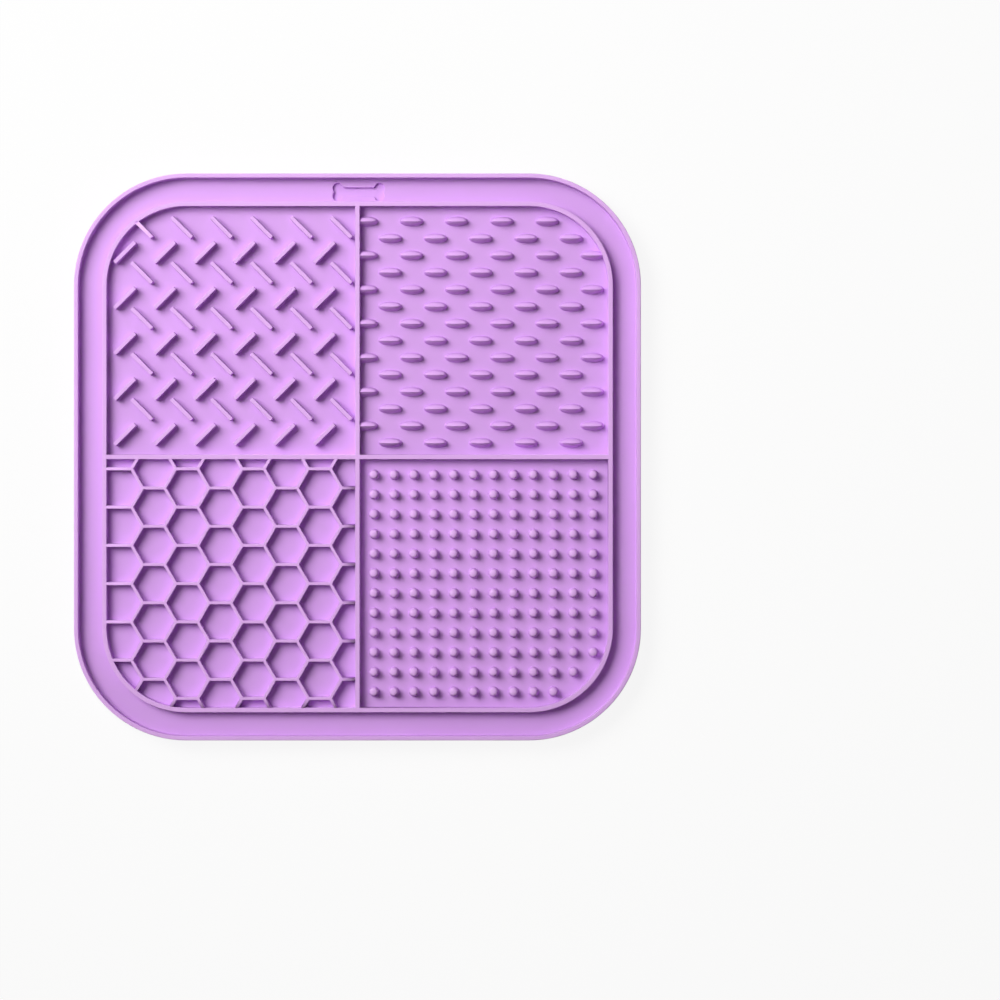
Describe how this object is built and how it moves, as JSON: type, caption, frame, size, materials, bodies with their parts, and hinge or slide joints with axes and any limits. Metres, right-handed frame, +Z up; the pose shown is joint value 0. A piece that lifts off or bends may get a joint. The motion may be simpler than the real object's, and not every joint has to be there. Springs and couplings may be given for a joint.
{
  "type": "lick mat",
  "caption": "Square silicone lick mat with rounded corners, a drip channel inside its rim, walled fields of bars, grains, honeycomb and dots, and suction cups underneath.",
  "frame": {"origin": "under the centre of the mat, on the surface that the suction cups stand on", "axes": "+Z up out of the textured side, +Y towards the side with the bone-shaped recess, +X to the right of it seen from above"},
  "size_m": [0.2, 0.2, 0.0095],
  "materials": {
    "silicone": "matte"
  },
  "bodies": {
    "root": {"base_sheet": "silicone", "outer_rim": "silicone", "inner_wall": "silicone", "long_divider": "silicone", "left_divider": "silicone", "right_divider": "silicone", "rising_bars": "silicone", "falling_bars": "silicone", "grain_bumps": "silicone", "honeycomb_ribs": "silicone", "dot_nubs": "silicone", "suction_cup_1": "silicone", "suction_cup_2": "silicone", "suction_cup_3": "silicone", "suction_cup_4": "silicone", "suction_cup_5": "silicone", "suction_cup_6": "silicone", "suction_cup_7": "silicone", "suction_cup_8": "silicone", "suction_cup_9": "silicone"}
  },
  "joints": []
}
